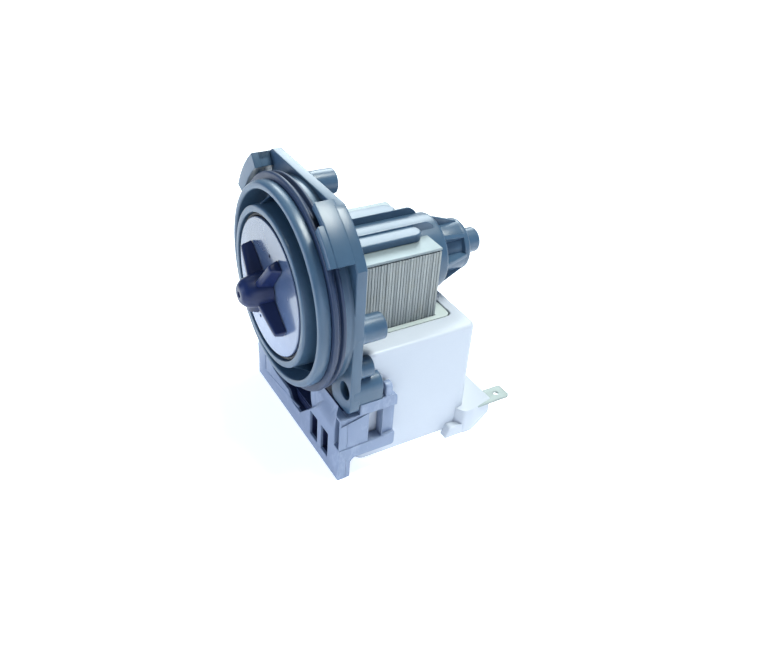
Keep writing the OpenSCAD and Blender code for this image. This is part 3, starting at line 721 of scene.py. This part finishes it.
# ---------------------------------------------------------------- rotor can
def can_mesh():
    bore = CAN_R - 1.2
    profile = rounded([
        (bore, -1.5, 0.1), (15.5, -1.5, 0.2), (15.5, -0.05, 0), (CAN_R, -0.05, 0), (CAN_R, CAN_END, 1.2),
        (HOUSING_R - 1.5, CAN_END, 0.6), (HOUSING_R - 1.5, HOUSING_END - 2.6, 0.3),
        (HOUSING_R, HOUSING_END - 2.2, 0.3), (HOUSING_R, HOUSING_END, 1.3), (NUB_R, HOUSING_END, 0.4),
        (NUB_R, NUB_END, 1.1), (0, NUB_END, 0), (0, HOUSING_END - 3, 0), (6, HOUSING_END - 3, 0),
        (6, CAN_END - 1.4, 0), (bore, CAN_END - 1.4, 0)], 0, 5)
    body = Shape().turn(profile, 160).mesh("can_body")
    gusset = Shape().slab([(CAN_END - 0.5, HOUSING_R - 2), (CAN_END - 0.5, CAN_R - 0.35),
                           (HOUSING_END - 1.6, HOUSING_R + 0.1), (HOUSING_END - 1.6, HOUSING_R - 2)],
                          -0.7, 0.7, 0.25, axis="X")
    first = Shape().add(gusset, turned_y(-1)).mesh("gusset")
    gussets = copies(first, "gussets", FLANGE, GUSSETS, turn=360 / GUSSETS)
    sector = Shape().slab(arc_band(HOUSING_R - 2, HOUSING_R, -1, 44, steps=12), CAN_END - 0.5,
                          HOUSING_END - 1.6, 0.25)
    sectors = copies(sector.mesh("sector"), "sectors", FLANGE, GUSSETS // 2, turn=720 / GUSSETS)
    return joined("rotor_can_moulding", [body, gussets, sectors])


put("can_moulding", can_mesh(), FLANGE, "motor", ["rotor_can"])


# ---------------------------------------------------------------- laminated core
def core_outline():
    """Outline of one sheet: two legs on a yoke, with the round bore and the gap between the legs."""
    a = math.degrees(math.asin(LEG_IN / CORE_BORE_R))
    w = CORE_HALF_W
    notch = CORE_TOP - STRIP_T
    right = [(w, -YOKE_LOW), (w, notch - 0.5), (w - 0.5, notch - 0.5), (w - 0.5, notch), (LEG_IN, notch)]
    bore = arc(CORE_BORE_R, a, 180 - a, 20)
    inner = [(LEG_IN, -YOKE_TOP), (-LEG_IN, -YOKE_TOP)]
    left = [(-x, z) for x, z in reversed(right + bore)]
    return right + bore + inner + left


def core_mesh():
    pitch = (CORE_BACK - CORE_FRONT) / LAMINATIONS
    sheet = Shape().slab(core_outline(), CORE_FRONT + 0.04, CORE_FRONT + pitch - 0.06, 0.1, steps=1)
    stack = copies(sheet.mesh("sheet"), "sheets", LAMINATED, LAMINATIONS, step=pitch, slack=0.045)
    inside = Shape().slab(inset(core_outline()[::-1] if area(core_outline()) < 0 else core_outline(), 0.12),
                          CORE_FRONT + 0.1, CORE_BACK - 0.1, 0.05, steps=1)
    return joined("core_sheets", [stack, inside.mesh("inside")], 25)


core = put("core_stack", core_mesh(), LAMINATED, "motor", ["stator_core"])
strip = Shape().both_sides(Shape().slab(
    box_outline((LEG_IN, CORE_TOP - STRIP_T - 0.02), (CORE_HALF_W, CORE_TOP)), CORE_FRONT, CORE_BACK, 0.15))
put("core_top_strips", strip.mesh("core_strips"), STRIP, "motor", [])


# ---------------------------------------------------------------- bracket
BAY = [(7.5, -30.2, 0), (7.9, -39.6, 0.8), (9.0, -42.9, 0.5), (3.6, -48.6, 0.8), (-2.6, -48.5, 0.8),
       (-5.3, -45.6, 0.8), (-18, -45.3, 3.0), (-23.5, -41, 2.0), (-23.5, -28.5, 0.4)]
BAY_BACK = [(7.9, -30.2, 0), (8.4, -41.0, 0.8), (5.6, -49.6, 0.8), (-4.0, -50.0, 0.8), (-7.0, -47.2, 0.8),
            (-18.5, -46.8, 3.0), (-24.8, -42, 2.0), (-24.8, -28.5, 0.4)]
CLIP_SLOTS = (((11.1, -51.4), (16.1, -41.9)), ((18.7, -51.4), (23.3, -41.9)),
              ((27.5, -42.8), (30.2, -31.6)),
              ((-24.4, -50), (-24.0, -44)))


def front_wall_outline(bay):
    """Front wall with the open bay below the spigot."""
    w, foot = PLATE_HALF_W - 0.35, PLATE_HALF_W - 0.6
    top = -PLATE_LOW - 0.15
    return rounded([(-w, CHEEK_LOW, 0), (-foot, CHEEK_LOW, 0), (-foot, BASE_Z, 0), (foot, BASE_Z, 0),
                    (foot, CHEEK_LOW, 0), (w, CHEEK_LOW, 0), (w, top, 0.3), (24, top, 0.3)] + bay
                   + [(-w, -28.5, 0.4)], 0, 5)


def ease(t):
    t = min(max(t, 0.0), 1.0)
    return t * t * (3 - 2 * t)


def set_back(x, z):
    """How far the wall's front steps back above the bay's diagonal and towards the plate's lobe."""
    off_diagonal = (z + 43.4 - 0.92 * (x - 9)) / 1.36
    step = 1.7 * ease(off_diagonal / (0.5 + 0.22 * max(x - 9, 0))) * ease((24 - x) / 8) if x > 5 else 0
    slope = 2.65 * ease((z + 37.5) / 6.6) * ease((x - 7) / 3) * ease((28.6 - x) / 4.6)
    return max(step, slope)


def front_wall():
    """Front wall with a soft slope at its upper right, over a thin skin set back from the bay."""
    slots = [box_outline(lo, hi, 0.2) for lo, hi in CLIP_SLOTS]
    s = Shape().slab(front_wall_outline(BAY), WALL_FRONT, WALL_REAR, 0.3, slots)
    cuts = [((0, 0, z / 2), (0, 0, 1)) for z in range(-90, -60)]
    cuts += [((x, 0, 0), (1, 0, 0)) for x in (8, 8.6, 9.2, 10, 11, 12, 13, 14.5, 16, 18, 20, 22, 24, 25,
                                              26, 27, 28, 28.7)]
    cuts += [((9, 0, -43.4 + d), (-0.92, 0, 1)) for d in (0, 0.25, 0.6, 1.2, 2.0)]
    for place, normal in cuts:
        whole = s.bm.verts[:] + s.bm.edges[:] + s.bm.faces[:]
        bmesh.ops.bisect_plane(s.bm, geom=whole, plane_co=place, plane_no=normal)
    for v in s.bm.verts:
        from_rear = (WALL_REAR - v.co.y) / (WALL_REAR - WALL_FRONT)
        v.co.y += set_back(v.co.x, v.co.z) * min(max(from_rear, 0.0), 1.0)
    s.slab(front_wall_outline(BAY_BACK), -0.25, 0.1, 0.1, slots)
    return s


def cheek():
    """Side cheek: a recessed panel with a latch window, a raised rail under it and one over it."""
    s = Shape()
    x0, x1 = CHEEK_IN, PLATE_HALF_W
    window = box_outline((7, -42.4), (11.7, -31.2), 0.3)
    s.slab(box_outline((-0.25, CHEEK_LOW + 0.3), (12.0, -30.9)), x0, x1 - 0.33, 0.15, [window], axis="X")
    s.slab(box_outline((11.6, CHEEK_LOW + 0.3), (CHEEK_BACK - 0.02, -30.9)), x0, x1 - 1.3, 0.15, axis="X")
    # rails under and over the window: their outer skin runs forward to the corner of the front wall
    for front, low, high in ((WALL_FRONT + 0.04, x0 + 2.9, x1), (-0.25, x0, x0 + 3.1)):
        s.slab(rounded([(front, CHEEK_LOW, 0.2), (CHEEK_BACK, CHEEK_LOW, 1.3), (CHEEK_BACK, -42.2, 0.3),
                        (front, -43.0, 0.2)], 0, 5), low, high, 0.25, axis="X", steps=4)
        s.slab(rounded([(front, -33.7, 0.2), (7.0, -31.2, 0.2), (CHEEK_BACK, -31.2, 0.2),
                        (CHEEK_BACK, CHEEK_TOP, 1.6), (3.6, CHEEK_TOP, 0.2), (3.6, -30.75, 0.1),
                        (front, -30.75, 0.2)], 0, 5), low, high, 0.25, axis="X", steps=4)
    # round-topped tongue behind the screw boss
    tongue = [(x0 + 0.1, -27.5)] + arc(1.7, -90, 90, 16, (x0 + 1.8, -24.3)) + [(x0 + 3.5, -27.5)]
    s.slab(tongue, 12.2, 14.6, 0.4, steps=4)
    return s


def bracket_mesh():
    s = front_wall()
    # foot with a hollow round at its back
    back = FOOT_BACK
    side = PLATE_HALF_W - 0.6
    foot = [(-0.3, BASE_Z), (back, BASE_Z)] + arc(2.4, 270, 342, 10, (back + 2.4, -50.2)) + [
        (back + 1.6, -46.2), (-0.3, -46.2)]
    s.slab(foot, -side, side, 0.3, axis="X")
    # back wall against the coil cover, and the floor between the walls
    s.slab(box_outline((-CHEEK_IN - 0.5, CHEEK_LOW), (CHEEK_IN + 0.5, -30.6)), 3.6, COVER_FRONT - 0.02, 0.1)
    s.slab(box_outline((-0.1, CHEEK_LOW), (COVER_FRONT - 0.05, CHEEK_LOW + 1.8)), -CHEEK_IN - 0.5,
           CHEEK_IN + 0.5, 0.1, axis="X")
    s.both_sides(cheek())
    # thin bead along the foot of the left half
    bead = Shape().slab(box_outline((-12.9, -0.22), (12.9, 0.22), 0.2), WALL_FRONT - 0.12,
                        WALL_FRONT + 0.5, 0.1)
    s.add(bead, Matrix.Translation((-9.9, 0, -48.6)) @ Matrix.Rotation(math.radians(-7.9), 4, "Y"))
    return s.mesh("lower_bracket_moulding", 26)


put("bracket_moulding", bracket_mesh(), BRACKET, "motor", ["lower_bracket"])


# ---------------------------------------------------------------- coil cover
def cover_ring(x, front, back, radius, z, shift=0.0):
    plan = box_outline((-x + shift, front + shift), (x - shift, back - shift), max(radius - shift, 0.3), 8)
    return [(u, v, z) for u, v in plan]


def cover_mesh():
    s = Shape()
    low, top, soft = -YOKE_LOW, COVER_TOP, 1.1
    outer = lambda z, d: cover_ring(COVER_HALF_W, COVER_FRONT, COVER_BACK, COVER_CORNER_R, z, d)
    opening = lambda z, d: cover_ring(OPENING_HALF_W, OPENING_FRONT, OPENING_BACK, 2.5, z, -d)
    inner = lambda z: cover_ring(COVER_HALF_W, COVER_FRONT, COVER_BACK, COVER_CORNER_R, z, COVER_WALL)
    rings = [outer(low + 0.3, 0), outer(top - soft, 0)]
    for k in range(1, 6):
        a = math.radians(90 * k / 5)
        rings.append(outer(top - soft * (1 - math.sin(a)), soft * (1 - math.cos(a))))
    for k in range(4):
        a = math.radians(90 * k / 3)
        rings.append(opening(top - 0.35 * (1 - math.cos(a)), 0.35 * (1 - math.sin(a))))
    rings += [opening(top - COVER_WALL, 0), inner(top - COVER_WALL), inner(low), outer(low, 0.25)]
    s.loft(rings)
    # terminal housing: slanted at its lower back edge
    def plan(back, d, z):
        points = [(-30, 44.5), (-27, 42.3), (27, 42.3), (30, 44.5), (30, 47.8), (28, back), (-28, back),
                  (-30, 47.8)]
        return [(u, v, z) for u, v in inset(rounded(points, 0.7, 4), d)]
    slant = 52.2
    rear = 56.3
    turn_up = BASE_Z + rear - slant
    s.stack([plan(slant - 0.2, 0.5, BASE_Z), plan(slant + 0.15, 0.1, BASE_Z + 0.35),
             plan(rear - 0.4, 0, turn_up - 0.4), plan(rear, 0, turn_up + 0.4), plan(rear, 0, SOCKET_TOP - 0.5),
             plan(rear, 0.12, SOCKET_TOP - 0.15), plan(rear, 0.5, SOCKET_TOP)])
    skirt = rounded([(37.8, BASE_Z), (46, BASE_Z), (46, -51.2), (39.3, -51.2)], 0.5)
    s.both_sides(Shape().slab(skirt, 26.4, 29.6, 0.4, axis="X"))
    return s.mesh("coil_cover_moulding")


put("cover_moulding", cover_mesh(), COVER, "motor", ["coil_cover"])


# ---------------------------------------------------------------- terminals
def terminal_mesh(side):
    tab_in, tab_out = TAB_X - TAB_W / 2, TAB_X + TAB_W / 2
    front = COVER_BACK - 3.4
    outline = rounded([(tab_in, front), (tab_in + 1.8, front), (tab_in + 1.8, COVER_BACK + 0.2),
                       (tab_out, COVER_BACK + 0.2), (tab_out, TAB_END - 0.9), (tab_out - 0.9, TAB_END),
                       (tab_in + 0.9, TAB_END), (tab_in, TAB_END - 0.9)], 0.15)
    detent = circle(0.85, (TAB_X, TAB_END - 3.8), 32)
    s = Shape().slab(outline, TAB_TOP - TAB_T, TAB_TOP, 0.18, [detent], axis="Z")
    whole = Shape().add(s, Matrix.Scale(-1, 4, (1, 0, 0))) if side < 0 else s
    return whole.mesh("terminal")


put("tab_left", terminal_mesh(-1), TERMINAL, "motor", ["terminal_left"])
put("tab_right", terminal_mesh(1), TERMINAL, "motor", ["terminal_right"])


# ---------------------------------------------------------------- impeller
def vane():
    """One vane: thick on the disc, thinner and softly rounded along its sloping front edge."""
    back = -DISC_Y - 0.3
    rings = []
    for f, trim in ((0, 0), (0.25, 0), (0.5, 0), (0.75, 0), (0.88, 0.06), (0.95, 0.22), (1.0, 0.5)):
        half = (VANE_FOOT_T * (1 - f) ** 1.3 + VANE_T * (1 - (1 - f) ** 1.3)) / 2 - trim * 0.9
        tip = VANE_TIP_R - 0.25 * f - trim * 0.8
        plan = rounded([(HUB_R - 1.2, -half, 0), (tip, -half, 0.5), (tip, half, 0.5),
                        (HUB_R - 1.2, half, 0)], 0, 4)
        rings.append([(x, back - f * (16.6 - 0.15 * (r - HUB_R) + back), r) for r, x in plan])
    return Shape().stack(rings)


def impeller_mesh():
    back = -DISC_Y - 0.3
    hub = Shape().turn(rounded([
        (0, -NOSE_Y + 0.6, 0), (0.75, -NOSE_Y + 0.5, 0.1), (1.0, -NOSE_Y, 0.2), (2.6, -NOSE_Y, 0.6),
        (HUB_R - 0.7, -NOSE_Y + 1.5, 1.6), (HUB_R, -NOSE_Y + 4.2, 1.5), (HUB_R + 0.5, back, 0),
        (4.1, back, 0),
        (4.1, -17, 0), (2.05, -17, 0), (2.05, -19.4, 0), (0, -19.4, 0)], 0, 8), 96)
    first = Shape().add(vane(), turned_y(VANE_TURN)).mesh("vane")
    vanes = copies(first, "vanes", IMPELLER, VANES, turn=360 / VANES)
    stop = Shape().slab(arc_band(2.9, 4.3, 162, 198, steps=8), -17.3, -13.2, 0.05)
    return joined("impeller_moulding", [hub.mesh("hub"), vanes, stop.mesh("stop")])


put("impeller_wheel", impeller_mesh(), IMPELLER, "impeller", ["impeller"])

# ---------------------------------------------------------------- finishes of the carried-over nodes
FINISH = {
    "bearing_disc": DISC, "disc_seal": BLACK_RUBBER, "front_bush": BUSH, "front_bush_ring": BLACK_RUBBER,
    "rear_bush": BUSH, "rear_bush_ring": BLACK_RUBBER, "cover_base": COVER, "bobbin_left": FORMER,
    "bobbin_right": FORMER, "winding_left": COPPER, "winding_right": COPPER, "coil_link": COPPER,
    "lead_left": LEAD_METAL, "lead_right": LEAD_METAL, "shaft": SHAFT_STEEL, "rotor_magnet": FERRITE,
    "magnet_carrier": DARK_PLASTIC, "drive_dog": PALE_PLASTIC, "thrust_washer_front": WASHER,
    "thrust_washer_rear": WASHER, "stop_buffer": BLACK_RUBBER, "dog_retainer": DARK_PLASTIC,
}
for name, finish in FINISH.items():
    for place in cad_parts[name].material_slots:
        place.material = finish


# ---------------------------------------------------------------- camera, floor and light
AZIMUTH = 57.506
ELEVATION = 34.659
ROLL = 4.292
FOCAL_PX = 814.77
IMAGE_W = 763
SENSOR = 36.0
REACH = (243.393, 22.997, -13.906)


def camera():
    az, el, roll = (math.radians(v) for v in (AZIMUTH, ELEVATION, ROLL))
    back = Vector((math.sin(az) * math.cos(el), -math.cos(az) * math.cos(el), math.sin(el)))
    side = Vector((math.cos(az), math.sin(az), 0))
    rise = back.cross(side)
    right = side * math.cos(roll) + rise * math.sin(roll)
    up = rise * math.cos(roll) - side * math.sin(roll)
    data = bpy.data.cameras.new("camera")
    data.sensor_fit, data.sensor_width = "HORIZONTAL", SENSOR
    data.lens = FOCAL_PX * SENSOR / IMAGE_W
    data.clip_start = 0.01
    eye = bpy.data.objects.new("camera", data)
    bpy.context.scene.collection.objects.link(eye)
    place = (back * REACH[0] + right * REACH[1] + up * REACH[2]) * MM
    eye.matrix_world = Matrix(((right.x, up.x, back.x, place.x), (right.y, up.y, back.y, place.y),
                               (right.z, up.z, back.z, place.z), (0, 0, 0, 1)))
    bpy.context.scene.camera = eye


def lamp(name, place, target, size, watts, colour, sheen_only=False):
    data = bpy.data.lights.new(name, "AREA")
    data.shape, data.size, data.energy, data.color = "DISK", size, watts, colour
    light = bpy.data.objects.new(name, data)
    bpy.context.scene.collection.objects.link(light)
    light.visible_diffuse = not sheen_only
    light.location = place
    light.rotation_euler = (Vector(target) - Vector(place)).to_track_quat("-Z", "Y").to_euler()


def surroundings():
    mesh = bpy.data.meshes.new("floor")
    half = 3.0
    level = BASE_Z * MM - 0.0001
    mesh.from_pydata([(-half, -half, level), (half, -half, level), (half, half, level),
                      (-half, half, level)], [], [(0, 1, 2, 3)])
    floor = bpy.data.objects.new("floor", mesh)
    bpy.context.scene.collection.objects.link(floor)
    paper = Paint("floor_paper", Roughness=0.9, Emission_Color=(0.88, 0.93, 1.0, 1), Emission_Strength=0.8)
    paper.out(Base_Color=paper.mix(paper.noise(3, 2), (0.90, 0.92, 0.95), (0.93, 0.95, 0.97)))
    mesh.materials.append(paper.material)
    world = bpy.data.worlds.new("soft_room")
    bpy.context.scene.world = world
    world.use_nodes = True
    tree = world.node_tree
    sky = tree.nodes["Background"]
    height = tree.nodes.new("ShaderNodeSeparateXYZ")
    facing = tree.nodes.new("ShaderNodeTexCoord")
    tree.links.new(facing.outputs["Generated"], height.inputs[0])
    ramp = tree.nodes.new("ShaderNodeValToRGB")
    stops = ramp.color_ramp.elements
    stops[0].position, stops[0].color = 0.0, (0.20, 0.30, 0.62, 1)
    stops[1].position, stops[1].color = 0.75, (0.80, 0.97, 1.0, 1)
    tree.links.new(height.outputs["Z"], ramp.inputs[0])
    tree.links.new(ramp.outputs[0], sky.inputs["Color"])
    sky.inputs["Strength"].default_value = 0.33
    centre = (0, 0.02, -0.01)
    lamp("key_top", (0.06, 0.24, 0.75), centre, 0.35, 8.5, (0.95, 1.0, 0.95))
    lamp("sheen_back", (-0.66, 0.42, 0.54), centre, 0.6, 9.0, (0.88, 0.98, 1.0), sheen_only=True)
    lamp("fill_right", (0.80, 0.0, 0.12), centre, 0.45, 1.5, (0.70, 0.80, 1.0))
    lamp("fill_front", (-0.20, -0.75, 0.08), centre, 0.5, 3.4, (0.64, 0.77, 1.0))


camera()
surroundings()
bpy.context.scene.view_settings.view_transform = "Standard"
